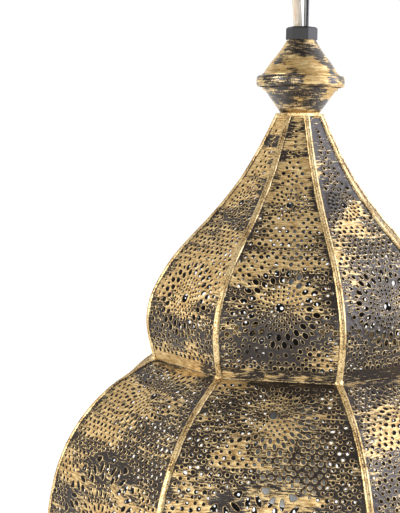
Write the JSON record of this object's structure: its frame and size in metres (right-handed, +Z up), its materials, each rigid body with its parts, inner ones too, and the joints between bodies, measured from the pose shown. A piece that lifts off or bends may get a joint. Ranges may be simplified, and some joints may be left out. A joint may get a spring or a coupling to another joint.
{
  "type": "hanging lantern",
  "caption": "Octagonal onion-shaped hanging lantern of punched sheet metal, with a wire loop on a ceiling hook, a supply cable, a canopy and a screw-cap lamp.",
  "frame": {"origin": "middle of the ceiling bracket's top face, in the plane of the ceiling", "axes": "+Z up along the lantern's axis; a panel of the shells faces -Y, and the bracket's screws lie along X"},
  "size_m": [0.36, 0.36, 0.6031],
  "materials": {
    "punched_sheet": "antique black paint with gold dry-brushed over its punched pattern",
    "folded_trim": "satin, worn gold over black",
    "finial_metal": "antique black paint with gold brushed round it",
    "black_plastic": "matte moulded black",
    "zinc_steel": "bright zinc plate",
    "ferrule_metal": "crimped, dull",
    "wire_coat": "smooth black coating on steel wire",
    "clear_cable": "clear jacket over stranded copper cores",
    "canopy_metal": "antique black and gold, as the shells",
    "grommet_rubber": "soft black",
    "terminal_plastic": "off-white moulded",
    "holder_plastic": "moulded black thermoset",
    "contact_brass": "bright",
    "opal_globe": "opal diffuser, unlit",
    "lamp_housing": "moulded white",
    "cap_metal": "rolled screw cap"
  },
  "bodies": {
    "ceiling_fitting": {"ceiling_bracket": "zinc_steel", "ceiling_hook": "zinc_steel", "terminal_block": "terminal_plastic"},
    "canopy": {"canopy_cup": "canopy_metal", "cable_grommet": "grommet_rubber", "hook_collar": "canopy_metal"},
    "lantern": {"dome_panel_1": "punched_sheet", "dome_panel_2": "punched_sheet", "dome_panel_3": "punched_sheet", "dome_panel_4": "punched_sheet", "dome_panel_5": "punched_sheet", "dome_panel_6": "punched_sheet", "dome_panel_7": "punched_sheet", "dome_panel_8": "punched_sheet", "bowl_panel_1": "punched_sheet", "bowl_panel_2": "punched_sheet", "bowl_panel_3": "punched_sheet", "bowl_panel_4": "punched_sheet", "bowl_panel_5": "punched_sheet", "bowl_panel_6": "punched_sheet", "bowl_panel_7": "punched_sheet", "bowl_panel_8": "punched_sheet", "dome_rib_1": "folded_trim", "dome_rib_2": "folded_trim", "dome_rib_3": "folded_trim", "dome_rib_4": "folded_trim", "dome_rib_5": "folded_trim", "dome_rib_6": "folded_trim", "dome_rib_7": "folded_trim", "dome_rib_8": "folded_trim", "bowl_rib_1": "folded_trim", "bowl_rib_2": "folded_trim", "bowl_rib_3": "folded_trim", "bowl_rib_4": "folded_trim", "bowl_rib_5": "folded_trim", "bowl_rib_6": "folded_trim", "bowl_rib_7": "folded_trim", "bowl_rib_8": "folded_trim", "waist_ring": "folded_trim", "bottom_rim": "folded_trim", "top_plate": "folded_trim", "finial_lower_cone": "finial_metal", "finial_ring": "finial_metal", "finial_upper_cone": "finial_metal", "top_bush": "black_plastic", "bush_lock_nut": "zinc_steel", "anchor_plate": "zinc_steel", "wire_ferrules": "ferrule_metal", "tie_tube": "zinc_steel", "tie_nuts": "zinc_steel", "hanging_loop": "wire_coat", "supply_cable": "clear_cable", "inner_lead": "clear_cable", "holder_cap": "holder_plastic", "holder_body": "holder_plastic", "holder_contacts": "contact_brass"},
    "bulb": {"bulb_globe": "opal_globe", "bulb_housing": "lamp_housing", "bulb_screw_cap": "cap_metal", "bulb_contact": "contact_brass"}
  },
  "joints": [
    {"name": "lantern_swing", "type": "hinge", "parent": "ceiling_fitting", "child": "lantern", "pos_m": [0, 0, -0.092], "axis": [0.7071, 0.7071, 0], "range_deg": [-20, 20], "deforming": ["supply_cable"]},
    {"name": "bulb_slide", "type": "slide", "parent": "lantern", "child": "bulb", "axis": [0, 0, -1], "range_m": [0, 0.035]},
    {"name": "canopy_slide", "type": "slide", "parent": "ceiling_fitting", "child": "canopy", "axis": [0, 0, -1], "range_m": [0, 0.02]}
  ]
}
